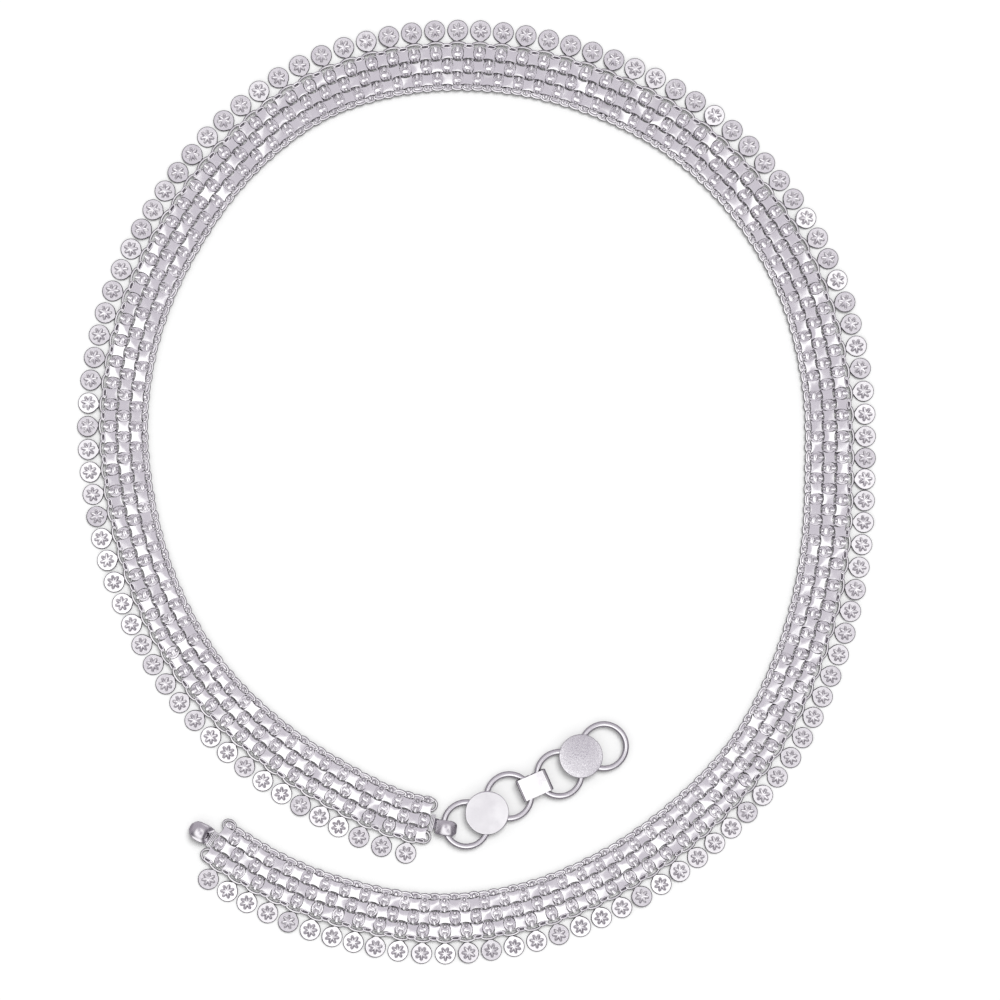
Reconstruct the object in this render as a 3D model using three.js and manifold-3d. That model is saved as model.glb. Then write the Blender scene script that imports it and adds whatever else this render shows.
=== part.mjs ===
// Waist belt: a flat woven silver chain of small plates, fringed along its outer edge with stamped discs,
// with a strip hook at one end and an extender of rings, disc links and a plate link at the other.
// Millimetres, +Z up. The belt lies open on the plane z = 0, with its box centred on the Z axis.
import * as THREE from 'three';
import { mergeVertices } from 'three/addons/utils/BufferGeometryUtils.js';
import Module from 'manifold-3d';

const wasm = await Module();
wasm.setup();

const gap = 0.3;                      // free space kept between neighbouring pieces
const stripWall = 0.35;               // thickness of the strips that are folded round the rings

// Mid-line of the woven band, from the hook end, anticlockwise, to the extender end.
const routePoints = [
  [-80, -103.5], [-70, -110], [-60, -115.5], [-43.5, -122], [-15, -127.5], [13.5, -124.5],
  [40, -114], [63.5, -97.5], [83, -76.5], [96, -51], [103.5, -23], [105.5, 5.5],
  [104.5, 34], [97, 62], [82.5, 86.5], [62, 106.5], [36.5, 120], [9, 127],
  [-20, 127], [-47.5, 119], [-70.5, 102], [-88, 79.5], [-100.5, 53.5], [-106, 25.5],
  [-104, -3], [-96, -30.5], [-81.5, -55.5], [-61, -75.5], [-37, -90.5], [-25, -96], [-13, -99],
];

const band = {
  steps: 60,                          // straight steps along the route
  plates: 125,                        // plates in the inner and outer rows, with a knot between each two
  rowPitch: 3.9,                      // across, from one row of plates to the next
  plateHalf: 1.4,                     // half the flat top of a row
  knotHalf: 1.75,                     // half the width of a row at the knots
  plateTop: 2,
  grooveTop: 1.3,
  edgeChainIn: -7.6,                  // inner edge chain, across from the mid-line
  edgeChainOut: -6.1,
  edgeChainTop: 1.5,
  outerSide: 5.85,                    // where the woven rows end, short of the outer edge chain
  sideBottom: 0.3,                    // lower edge of the sides, above the rounded foot
};

const fringe = {
  discsPerStretch: 4,
  chainSteps: 2,                      // straight steps in a stretch of chain
  chainIn: band.outerSide + 1.6 * gap,  // outer edge chain, clear of the band's straight steps
  chainOut: 7.5,
  chainTop: 1.5,
  discCentre: 10.75,                  // across from the mid-line
  discRadius: 3.15,
  discThickness: 0.7,
  discSides: 10,
  neckWidth: 1.1,
  neckLap: 0.35,                      // how far a neck runs into the chain
};

const ring = { radius: 6.65, wire: 0.85, bottom: stripWall + gap, arcSteps: 20, wireSides: 8 };
const ringCentres = [[-3.35, -99.4], [9.5, -91], [24.6, -84.3], [37.9, -76]];

// A strip folded round two rings: its underside lies on z = 0 and its top wall is over the wires.
const strip = {
  wall: stripWall,
  top: ring.bottom + 2 * ring.wire + gap + stripWall,
  cornerRadius: 0.8,
  seam: 0.5,                          // between the two ends that meet underneath
};
const discPlate = { radius: 6.55, edge: 0.25, thickness: 0.6, stripWidth: 4.5, sides: 24 };
const discPlateCentres = [[2.9, -95.9], [31, -78.9]];
const linkPlate = { width: 6.7, slack: 0.65, thickness: 0.4 };

const freeHook = {
  origin: [-80.1, -103.2], turn: 152,
  start: 0.35, collar: 1.25, foot: 0.2, neckTop: 1.7,
  shoulder: [1.9, 3.3], crown: [3.2, 3.9], innerShoulder: [2.3, 2.5], innerCrown: [3.5, 3.1],
  tipCentre: 4.8, lipEnd: 3.3, lipTop: 0.8,
  halfAtBand: 2.5, halfAtTip: 2.1, bulge: 3.3, length: 6.8,
};
const closedHook = {
  origin: [-12.75, -100.1], turn: -6,
  length: 6.4, wall: 0.5, bottomWall: 0.35, crown: 0.45, cornerRadius: 1.1,
  halfAtBand: 2, halfAtTip: 2.1, bulge: 2.5,
};

// Curve segments in the turns of a folded strip, in the free hook's tip and in a hook's bulging side.
const curveSteps = { fold: 1, tip: 3, side: 4 };

const silver = {
  mesh: new THREE.MeshStandardMaterial({ color: 0xd4cfd6, metalness: 1, roughness: 0.3 }),
  discs: new THREE.MeshStandardMaterial({ color: 0xdcd8de, metalness: 1, roughness: 0.35 }),
  wire: new THREE.MeshStandardMaterial({ color: 0xc9c3ca, metalness: 1, roughness: 0.2 }),
  polished: new THREE.MeshStandardMaterial({ color: 0xe6e4e8, metalness: 1, roughness: 0.15 }),
  frosted: new THREE.MeshStandardMaterial({ color: 0xd2ced6, metalness: 1, roughness: 0.6 }),
};

const waistBelt = new THREE.Group();

function addPiece(name, geometry, material) {
  const mesh = new THREE.Mesh(geometry, material);
  mesh.name = name;
  waistBelt.add(mesh);
  return mesh;
}

// ---- Joining and cutting ----

function solidOf(geometry) {
  const bare = geometry.clone();
  bare.deleteAttribute('normal');
  bare.deleteAttribute('uv');
  const merged = mergeVertices(bare);
  return new wasm.Manifold(new wasm.Mesh({
    numProp: 3,
    vertProperties: new Float32Array(merged.getAttribute('position').array),
    triVerts: new Uint32Array(merged.getIndex().array),
  }));
}

function geometryOf(solid) {
  const mesh = solid.getMesh();
  const geometry = new THREE.BufferGeometry();
  geometry.setAttribute('position', new THREE.BufferAttribute(mesh.vertProperties, 3));
  geometry.setIndex(new THREE.BufferAttribute(mesh.triVerts, 1));
  geometry.computeVertexNormals();
  return geometry;
}

function joined(geometries) {
  const solids = geometries.map(solidOf);
  return geometryOf(solids.reduce((whole, next) => whole.add(next)));
}

function common(first, second) {
  return geometryOf(solidOf(first).intersect(solidOf(second)));
}

// ---- Route ----

const route = new THREE.CatmullRomCurve3(
  routePoints.map(([x, y]) => new THREE.Vector3(x, y, 0)), false, 'centripetal');
route.arcLengthDivisions = 1200;
const routeLength = route.getLength();
const platePitch = routeLength / band.plates;

// A point of the belt's plan: a distance along the route, and a distance outwards from the mid-line.
function planPoint(along, out) {
  const share = along / routeLength;
  const point = route.getPointAt(share);
  const heading = route.getTangentAt(share);
  return new THREE.Vector2(point.x + heading.y * out, point.y - heading.x * out);
}

function headingAt(along) {
  const heading = route.getTangentAt(along / routeLength);
  return Math.atan2(heading.y, heading.x);
}

// ---- Woven band ----

// Across the band, out from the mid-line and up: the inner edge chain, then the three rows.
function bandOutline() {
  const edgeBevel = 0.4;
  const outline = [
    [band.edgeChainIn + band.sideBottom, 0],
    [band.edgeChainIn, band.sideBottom],
    [band.edgeChainIn, band.edgeChainTop - edgeBevel],
    [band.edgeChainIn + edgeBevel, band.edgeChainTop],
    [band.edgeChainOut - edgeBevel, band.edgeChainTop],
    [band.edgeChainOut, band.edgeChainTop - edgeBevel],
  ];
  for (const row of [-1, 0, 1]) {
    const centre = row * band.rowPitch;
    outline.push([centre - band.knotHalf, band.grooveTop], [centre - band.plateHalf, band.plateTop]);
    outline.push([centre + band.plateHalf, band.plateTop], [centre + band.knotHalf, band.grooveTop]);
  }
  outline.push([band.outerSide, band.grooveTop - edgeBevel], [band.outerSide, band.sideBottom]);
  outline.push([band.outerSide - band.sideBottom, 0]);
  return outline;
}

// Along a level path, ExtrudeGeometry turns a shape's x to -Z and its y to the left, which is inwards here.
function meshBand() {
  const shape = new THREE.Shape(bandOutline().map(([out, up]) => new THREE.Vector2(-up, -out)));
  return new THREE.ExtrudeGeometry(shape, { steps: band.steps, extrudePath: route });
}

addPiece('mesh_band', meshBand(), silver.mesh);

// ---- Disc fringe ----

function edgeChain(start, end) {
  const stations = Array.from({ length: fringe.chainSteps + 1 }, (_, i) => i / fringe.chainSteps);
  const outerSide = stations.map((t) => planPoint(start + (end - start) * t, fringe.chainOut));
  const innerSide = stations.map((t) => planPoint(start + (end - start) * t, fringe.chainIn));
  const plan = new THREE.Shape([...outerSide, ...innerSide.reverse()]);
  return new THREE.ExtrudeGeometry(plan, { depth: fringe.chainTop, bevelEnabled: false });
}

// A disc and its neck in one outline, which lies outwards of the mid-line at the given place.
// ExtrudeGeometry gives an arc two straight steps for each curve segment.
function discAt(along) {
  const half = fringe.neckWidth / 2;
  const neckTurn = Math.asin(half / fringe.discRadius);
  const neckStart = -fringe.chainOut + fringe.neckLap;
  const shape = new THREE.Shape();
  shape.moveTo(-half, neckStart);
  shape.absarc(0, -fringe.discCentre, fringe.discRadius, Math.PI / 2 + neckTurn,
    2.5 * Math.PI - neckTurn, false);
  shape.lineTo(half, neckStart);
  const disc = new THREE.ExtrudeGeometry(shape,
    { depth: fringe.discThickness, bevelEnabled: false, curveSegments: fringe.discSides / 2 });
  const foot = planPoint(along, 0);
  disc.rotateZ(headingAt(along));
  disc.translate(foot.x, foot.y, 0);
  return disc;
}

// A disc hangs at each knot of the outer row, and the first knot is one pitch from the band's end.
function fringeStretch(firstKnot) {
  const lastKnot = firstKnot + fringe.discsPerStretch - 1;
  const start = (firstKnot - 0.5) * platePitch + gap / 2;
  const end = (lastKnot + 0.5) * platePitch - gap / 2;
  const pieces = [edgeChain(start, end)];
  for (let knot = firstKnot; knot <= lastKnot; knot += 1) {
    pieces.push(discAt(knot * platePitch));
  }
  return joined(pieces);
}

const stretchCount = (band.plates - 1) / fringe.discsPerStretch;
for (let i = 0; i < stretchCount; i += 1) {
  const name = `disc_fringe_${String(i + 1).padStart(2, '0')}`;
  addPiece(name, fringeStretch(i * fringe.discsPerStretch + 1), silver.discs);
}

// ---- Rings ----

ringCentres.forEach(([x, y], i) => {
  const geometry = new THREE.TorusGeometry(ring.radius, ring.wire, ring.wireSides, ring.arcSteps);
  const piece = addPiece(`ring_${i + 1}`, geometry, silver.wire);
  piece.position.set(x, y, ring.bottom + ring.wire);
});

// ---- Strips folded round the rings ----

// Turns a side view, x along and y up, into a solid of the given width, centred on the XZ plane.
function sideExtrusion(shape, width, curveSegments) {
  const geometry = new THREE.ExtrudeGeometry(shape, { depth: width, bevelEnabled: false, curveSegments });
  geometry.rotateX(Math.PI / 2);
  geometry.translate(0, width / 2, 0);
  return geometry;
}

// Side view of a flat sleeve from x = 0 to its length, open at a seam in the middle of its underside.
function sleeveShape(length, top, topWall, wall, radius) {
  const innerRadius = radius - wall;
  const middle = length / 2;
  const shape = new THREE.Shape();
  shape.moveTo(middle + strip.seam / 2, 0);
  shape.absarc(length - radius, radius, radius, -Math.PI / 2, 0, false);
  shape.absarc(length - radius, top - radius, radius, 0, Math.PI / 2, false);
  shape.absarc(radius, top - radius, radius, Math.PI / 2, Math.PI, false);
  shape.absarc(radius, radius, radius, Math.PI, 1.5 * Math.PI, false);
  shape.lineTo(middle - strip.seam / 2, 0);
  shape.lineTo(middle - strip.seam / 2, wall);
  shape.absarc(radius, radius, innerRadius, 1.5 * Math.PI, Math.PI, true);
  shape.absarc(radius, top - topWall - innerRadius, innerRadius, Math.PI, Math.PI / 2, true);
  shape.absarc(length - radius, top - topWall - innerRadius, innerRadius, Math.PI / 2, 0, true);
  shape.absarc(length - radius, radius, innerRadius, 0, -Math.PI / 2, true);
  shape.lineTo(middle + strip.seam / 2, wall);
  return shape;
}

// A sleeve that holds the near sides of two rings, with some slack beyond each wire.
function sleeveBetween(first, second, width, slack, topWall) {
  const [ax, ay] = ringCentres[first];
  const [bx, by] = ringCentres[second];
  const inside = Math.sqrt((ring.radius - ring.wire) ** 2 - (width / 2) ** 2);
  const start = inside - slack - strip.wall;
  const length = Math.hypot(bx - ax, by - ay) - 2 * start;
  const top = strip.top - strip.wall + topWall;
  const shape = sleeveShape(length, top, topWall, strip.wall, strip.cornerRadius);
  const geometry = sideExtrusion(shape, width, curveSteps.fold);
  geometry.translate(start, 0, 0);
  geometry.rotateZ(Math.atan2(by - ay, bx - ax));
  geometry.translate(ax, ay, 0);
  return geometry;
}

function plainDisc([x, y]) {
  const { radius, edge, thickness, sides } = discPlate;
  const profile = [
    [0, 0], [radius - edge, 0], [radius, edge], [radius, thickness - edge],
    [radius - edge, thickness], [0, thickness],
  ].map(([r, up]) => new THREE.Vector2(r, up));
  const geometry = new THREE.LatheGeometry(profile, sides);
  geometry.rotateX(Math.PI / 2);
  geometry.translate(x, y, strip.top - strip.wall);
  return geometry;
}

function discLink(centre, first, second) {
  return joined([plainDisc(centre), sleeveBetween(first, second, discPlate.stripWidth, gap, strip.wall)]);
}

addPiece('disc_plate_1', discLink(discPlateCentres[0], 0, 1), silver.polished);
addPiece('disc_plate_2', discLink(discPlateCentres[1], 2, 3), silver.frosted);
addPiece('link_plate', sleeveBetween(1, 2, linkPlate.width, linkPlate.slack, linkPlate.thickness),
  silver.polished);

// ---- Hooks ----

// Plan of a hook that bulges between its two ends, as a solid that stands past its side view on both faces.
function barrelPlan(length, hook) {
  const margin = 1;
  const depth = freeHook.crown[1] + 2 * margin;
  const shape = new THREE.Shape();
  shape.moveTo(0, -hook.halfAtBand);
  shape.quadraticCurveTo(length / 2, -hook.bulge, length, -hook.halfAtTip);
  shape.lineTo(length, hook.halfAtTip);
  shape.quadraticCurveTo(length / 2, hook.bulge, 0, hook.halfAtBand);
  return new THREE.ExtrudeGeometry(shape, { depth, bevelEnabled: false, curveSegments: curveSteps.side })
    .translate(0, 0, -margin);
}

function placeHook(geometry, hook) {
  geometry.rotateZ(THREE.MathUtils.degToRad(hook.turn));
  geometry.translate(hook.origin[0], hook.origin[1], 0);
  return geometry;
}

// Side view of the free hook: a collar at the band, a domed back, and a tip that curls under to a lip.
function freeHookShape() {
  const h = freeHook;
  const outer = h.crown[1] / 2;
  const inner = (h.innerCrown[1] - h.lipTop) / 2;
  const shape = new THREE.Shape();
  shape.moveTo(h.start, h.foot);
  shape.lineTo(h.start, h.neckTop);
  shape.lineTo(...h.shoulder);
  shape.lineTo(...h.crown);
  shape.absarc(h.tipCentre, outer, outer, Math.PI / 2, -Math.PI / 2, true);
  shape.lineTo(h.lipEnd, 0);
  shape.lineTo(h.lipEnd, h.lipTop);
  shape.absarc(h.tipCentre, h.lipTop + inner, inner, -Math.PI / 2, Math.PI / 2, false);
  shape.lineTo(...h.innerCrown);
  shape.lineTo(...h.innerShoulder);
  shape.lineTo(h.collar, h.neckTop - h.foot);
  shape.lineTo(h.collar, h.foot);
  return shape;
}

function barrelHook(sideShape, length, hook, turnSegments) {
  const side = sideExtrusion(sideShape, 2 * hook.bulge, turnSegments);
  return placeHook(common(side, barrelPlan(length, hook)), hook);
}

addPiece('hook_free', barrelHook(freeHookShape(), freeHook.length, freeHook, curveSteps.tip), silver.wire);

const closedHookTop = strip.top - strip.wall + closedHook.wall + closedHook.crown;
const closedHookShape = sleeveShape(closedHook.length, closedHookTop, closedHook.wall + closedHook.crown,
  closedHook.bottomWall, closedHook.cornerRadius);
addPiece('hook_closed', barrelHook(closedHookShape, closedHook.length, closedHook, curveSteps.fold),
  silver.wire);

export default waistBelt;
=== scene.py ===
import math

import bmesh
import bpy
import numpy as np
from mathutils import Matrix, Vector


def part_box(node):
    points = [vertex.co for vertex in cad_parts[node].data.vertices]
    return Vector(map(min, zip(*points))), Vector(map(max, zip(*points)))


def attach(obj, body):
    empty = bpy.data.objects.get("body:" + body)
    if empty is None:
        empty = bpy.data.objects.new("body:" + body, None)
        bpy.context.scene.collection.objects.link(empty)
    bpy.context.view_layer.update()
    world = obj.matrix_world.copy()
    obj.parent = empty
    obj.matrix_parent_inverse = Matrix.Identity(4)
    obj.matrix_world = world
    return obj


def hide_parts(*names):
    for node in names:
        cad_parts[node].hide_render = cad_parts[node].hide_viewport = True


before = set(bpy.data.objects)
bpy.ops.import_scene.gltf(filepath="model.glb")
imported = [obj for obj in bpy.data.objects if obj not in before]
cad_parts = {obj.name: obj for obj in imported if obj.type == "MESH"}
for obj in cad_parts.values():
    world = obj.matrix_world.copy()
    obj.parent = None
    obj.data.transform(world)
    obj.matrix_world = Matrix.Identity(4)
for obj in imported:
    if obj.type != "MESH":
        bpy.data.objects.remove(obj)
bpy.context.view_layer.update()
mm = 0.001
chance = np.random.default_rng(41)
fringeNodes = sorted(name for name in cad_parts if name.startswith("disc_fringe_"))

# The camera, first of all.
cameraPlan = {"middle": (6.75, -2.2), "width": 300, "lens": 200, "sensor": 36}


def makeCamera():
    plan = cameraPlan
    data = bpy.data.cameras.new("overheadCamera")
    data.lens = plan["lens"]
    data.sensor_width = plan["sensor"]
    data.clip_start = 0.01
    data.clip_end = 20
    camera = bpy.data.objects.new("overheadCamera", data)
    bpy.context.scene.collection.objects.link(camera)
    height = plan["width"] * plan["lens"] / plan["sensor"]
    x, y = plan["middle"]
    camera.location = Vector((x, y, height)) * mm
    bpy.context.scene.camera = camera


makeCamera()
print("camera: straight above the belt")

# Mid-line of the woven band, from the free hook anticlockwise to the extender.
routePoints = np.array([
    (-80, -103.5), (-70, -110), (-60, -115.5), (-43.5, -122), (-15, -127.5), (13.5, -124.5),
    (40, -114), (63.5, -97.5), (83, -76.5), (96, -51), (103.5, -23), (105.5, 5.5),
    (104.5, 34), (97, 62), (82.5, 86.5), (62, 106.5), (36.5, 120), (9, 127),
    (-20, 127), (-47.5, 119), (-70.5, 102), (-88, 79.5), (-100.5, 53.5), (-106, 25.5),
    (-104, -3), (-96, -30.5), (-81.5, -55.5), (-61, -75.5), (-37, -90.5), (-25, -96), (-13, -99),
])

band = {
    "plates": 125,                 # in the inner and outer rows; the middle row has one less
    "rows": (-3.93, -0.1, 3.87),   # out from the mid-line
}


# A centripetal Catmull-Rom curve through the points, its ends carried on in line.
def curveThrough(points, steps):
    path = np.vstack([2 * points[0] - points[1], points, 2 * points[-1] - points[-2]])
    pieces = []
    for p0, p1, p2, p3 in zip(path, path[1:], path[2:], path[3:]):
        d0, d1, d2 = (math.sqrt(math.dist(a, b)) for a, b in ((p0, p1), (p1, p2), (p2, p3)))
        t1 = ((p1 - p0) / d0 - (p2 - p0) / (d0 + d1) + (p2 - p1) / d1) * d1
        t2 = ((p2 - p1) / d1 - (p3 - p1) / (d1 + d2) + (p3 - p2) / d2) * d1
        t = np.linspace(0, 1, steps, endpoint=False)[:, None]
        cubic = 2 * p1 - 2 * p2 + t1 + t2
        square = 3 * p2 - 3 * p1 - 2 * t1 - t2
        pieces.append(p1 + t1 * t + square * t * t + cubic * t * t * t)
    return np.vstack([*pieces, points[-1]])


routeLine = curveThrough(routePoints, 48)
routeSteps = np.diff(routeLine, axis=0)
routeAlong = np.concatenate([[0], np.cumsum(np.hypot(*routeSteps.T))])
stepMiddles = (routeAlong[1:] + routeAlong[:-1]) / 2
stepHeadings = np.unwrap(np.arctan2(routeSteps[:, 1], routeSteps[:, 0]))
routeLength = routeAlong[-1]
pitch = routeLength / band["plates"]
halfSteps = [half * pitch / 2 for half in range(1, 2 * band["plates"])]


# How far along the belt each plate of a row stands. The knots of a row stand where its neighbours' plates do.
def alongRow(row):
    return halfSteps[1::2] if row == 1 else halfSteps[::2]


# Where a piece of the belt goes: a distance along the route, out from the mid-line and up, then its own turn
# about the upright, its lean outwards and its dip forwards, in degrees. Its own x runs along the belt and its
# y inwards.
def placeOnBelt(along, out, up, turn=0, lean=0, dip=0, size=(1, 1, 1)):
    heading = np.interp(along, stepMiddles, stepHeadings)
    x = np.interp(along, routeAlong, routeLine[:, 0]) + math.sin(heading) * out
    y = np.interp(along, routeAlong, routeLine[:, 1]) - math.cos(heading) * out
    place = Matrix.Translation(Vector((x, y, up)) * mm)
    place = place @ Matrix.Rotation(heading + math.radians(turn), 4, "Z")
    place = place @ Matrix.Rotation(math.radians(lean), 4, "X")
    place = place @ Matrix.Rotation(math.radians(dip), 4, "Y")
    return place @ Matrix.Diagonal((*size, 1))


# The same for a piece that is copied many times, by its dictionary and what else is given. "uneven" says how
# much the copies' lean and dip differ, and then how much their turn does.
def unevenPlace(piece, along, **given):
    plan = {"turn": 0, "lean": 0, "dip": 0, "size": (1, 1, 1), **piece, **given}
    unevenLean, unevenTurn = plan["uneven"]
    lean, dip, turn = chance.normal(0, 1, 3)
    return placeOnBelt(along, plan["out"], plan["up"], plan["turn"] + turn * unevenTurn,
                       plan["lean"] + lean * unevenLean, plan["dip"] + dip * unevenLean, plan["size"])


# Helpers for modelling, most of them in edit mode.
def near(value, target, slack=0.02):
    return abs(value - target * mm) < slack * mm


def activate(piece):
    for other in bpy.context.selected_objects:
        other.select_set(False)
    piece.select_set(True)
    bpy.context.view_layer.objects.active = piece


def startEditing(name="unit"):
    piece = bpy.context.active_object
    piece.name = name
    bpy.ops.object.mode_set(mode="EDIT")
    return piece


# Selects what passes the test, in edit mode: "VERT", "EDGE" or "FACE".
def selectWhere(kind, test):
    mesh = bpy.context.edit_object.data
    bpy.ops.mesh.select_mode(type=kind)
    bpy.ops.mesh.select_all(action="DESELECT")
    shape = bmesh.from_edit_mesh(mesh)
    elements = {"VERT": shape.verts, "EDGE": shape.edges, "FACE": shape.faces}[kind]
    for element in elements:
        if test(element):
            element.select_set(True)
    shape.select_flush_mode()
    bmesh.update_edit_mesh(mesh)


def selectTop():
    selectWhere("FACE", lambda f: f.normal.z > 0.9)


# Selects the edges where a level top meets a side. The lower the limit, the steeper the side has to be.
def selectRim(limit):
    selectWhere("EDGE", lambda e: max(f.normal.z for f in e.link_faces) > 0.9
                and min(abs(f.normal.z) for f in e.link_faces) < limit)


def moveBy(x, y, z):
    bpy.ops.transform.translate(value=(x * mm, y * mm, z * mm))


def resizeBy(x, y, z, middle=(0, 0, 0)):
    bpy.ops.transform.resize(value=(x, y, z), center_override=middle)


def stretchAll(x, y, z):
    bpy.ops.mesh.select_all(action="SELECT")
    resizeBy(x, y, z)


def extrudeBy(x, y, z):
    bpy.ops.mesh.extrude_region_move(TRANSFORM_OT_translate={"value": (x * mm, y * mm, z * mm)})


def insetBy(inwards, rise=0):
    bpy.ops.mesh.inset(thickness=inwards * mm, depth=rise * mm)


def bevelBy(width, segments=1):
    bpy.ops.mesh.bevel(offset=width * mm, segments=segments)


def stopEditing(piece):
    bpy.ops.mesh.select_all(action="SELECT")
    bpy.ops.mesh.normals_make_consistent(inside=False)
    bpy.ops.object.mode_set(mode="OBJECT")
    piece.select_set(False)
    return piece


def smooth(piece, angle):
    activate(piece)
    bpy.ops.object.shade_smooth_by_angle(angle=math.radians(angle))
    piece.select_set(False)


# Moves the object's place into its mesh, so that the object stands at the origin.
def placeInMesh(piece):
    activate(piece)
    bpy.ops.object.transform_apply(location=True, rotation=True, scale=True)
    piece.select_set(False)


def dress(piece, material, nodes):
    piece.data.materials.clear()
    piece.data.materials.append(material)
    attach(piece, "root")
    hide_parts(*nodes)
    print(f"{piece.name}: {len(piece.data.polygons)} faces")


# One mesh that holds a copy of the unit at each place, smooth up to its plan's angle and in its finish. Each
# copy keeps the unit's own coordinates, for tones that follow its shape.
def addCopies(name, unit, places, plan, nodes=("mesh_band",)):
    count = len(unit.data.vertices)
    own = np.empty(count * 3)
    unit.data.vertices.foreach_get("co", own)
    own = own.reshape(-1, 3)
    faces = [tuple(face.vertices) for face in unit.data.polygons]
    vertices, allFaces = [], []
    for number, place in enumerate(places):
        vertices.append(own @ np.array(place.to_3x3()).T + np.array(place.translation))
        allFaces += [tuple(corner + number * count for corner in face) for face in faces]
    chance.random(len(places))    # not used, but the unevenness of all later copies depends on it
    mesh = bpy.data.meshes.new(name)
    mesh.from_pydata(np.vstack(vertices).tolist(), [], allFaces)
    ownPlace = mesh.attributes.new("ownPlace", "FLOAT_VECTOR", "POINT")
    ownPlace.data.foreach_set("vector", np.tile(own / mm, (len(places), 1)).astype(np.float32).ravel())
    piece = bpy.data.objects.new(name, mesh)
    bpy.context.scene.collection.objects.link(piece)
    bpy.data.objects.remove(unit)
    smooth(piece, plan["smooth"])
    dress(piece, silver[plan["finish"]], nodes)


# Adds a shader node to a tree. Each of its inputs is a value, or another node's output.
def addNode(tree, kind, inputs, **settings):
    node = tree.nodes.new(f"ShaderNode{kind}")
    for label, value in settings.items():
        setattr(node, label, value)
    for label, value in inputs.items():
        if isinstance(value, bpy.types.NodeSocket):
            tree.links.new(value, node.inputs[label])
        else:
            node.inputs[label].default_value = value
    return node


# A soft step, from 0 below the low value to 1 above the high one.
def addStep(tree, value, low, high):
    step = addNode(tree, "MapRange", {"Value": value, "From Min": low, "From Max": high},
                   interpolation_type="SMOOTHSTEP")
    return step.outputs["Result"]


def addMix(tree, share, first, second):
    mix = addNode(tree, "Mix", {"Factor": share, "A": first, "B": second}, data_type="RGBA")
    return mix.outputs["Result"]


def newGroup(name, inputs, outputs):
    group = bpy.data.node_groups.new(name, "ShaderNodeTree")
    for label, kind, value in inputs:
        socket = group.interface.new_socket(name=label, in_out="INPUT", socket_type=f"NodeSocket{kind}")
        socket.default_value = value
    for label, kind in outputs:
        group.interface.new_socket(name=label, in_out="OUTPUT", socket_type=f"NodeSocket{kind}")
    return group, group.nodes.new("NodeGroupInput").outputs, group.nodes.new("NodeGroupOutput").inputs


# Polishing marks: an uneven polish, and fine scratches that run one way.
def makePolishMarks():
    group, given, made = newGroup(
        "polishMarks",
        [("Patch Scale", "Float", 300), ("Scratch Scale", "Float", 2500), ("Polished", "Float", 0.1),
         ("Dull", "Float", 0.25), ("Bump", "Float", 0.1), ("Draw", "Vector", (1, 0.08, 1))],
        [("Roughness", "Float"), ("Normal", "Vector")])
    place = addNode(group, "TexCoord", {}).outputs["Object"]
    patches = addNode(group, "TexNoise", {"Vector": place, "Scale": given["Patch Scale"], "Detail": 3})
    spread = addNode(group, "MapRange", {
        "Value": patches.outputs["Fac"], "From Min": 0.35, "From Max": 0.65,
        "To Min": given["Polished"], "To Max": given["Dull"]})
    oneWay = addNode(group, "Mapping", {"Vector": place, "Rotation": (0, 0, 0.6), "Scale": given["Draw"]})
    scratches = addNode(group, "TexNoise", {
        "Vector": oneWay.outputs["Vector"], "Scale": given["Scratch Scale"], "Detail": 2})
    bump = addNode(group, "Bump", {
        "Height": scratches.outputs["Fac"], "Strength": given["Bump"], "Distance": 0.06 * mm})
    group.links.new(spread.outputs["Result"], made["Roughness"])
    group.links.new(bump.outputs["Normal"], made["Normal"])
    return group


# Painted shade: silver painted darker low down, where the links shade each other, partly as tarnish, with a
# slight mottle.
def makeShadeAndTarnish():
    group, given, made = newGroup(
        "shadeAndTarnish",
        [("Open Color", "Color", (0.95, 0.94, 0.95, 1)), ("Deep Color", "Color", (0.3, 0.28, 0.31, 1)),
         ("Height", "Float", 0), ("Low", "Float", 0.0003), ("High", "Float", 0.0012)],
        [("Color", "Color")])
    place = addNode(group, "TexCoord", {}).outputs["Object"]
    mottle = addNode(group, "TexNoise", {"Vector": place, "Scale": 900}).outputs["Fac"]
    mottleDepth = 0.12
    # the painted shade: full below the low height, gone above the high one
    height = addStep(group, given["Height"], given["Low"], given["High"])
    share = addNode(group, "Math", {0: mottle, 1: mottleDepth, 2: height},
                    operation="MULTIPLY_ADD", use_clamp=True)
    group.links.new(addMix(group, share.outputs[0], given["Deep Color"], given["Open Color"]), made["Color"])
    return group


polishMarks = makePolishMarks()
shadeAndTarnish = makeShadeAndTarnish()
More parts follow.
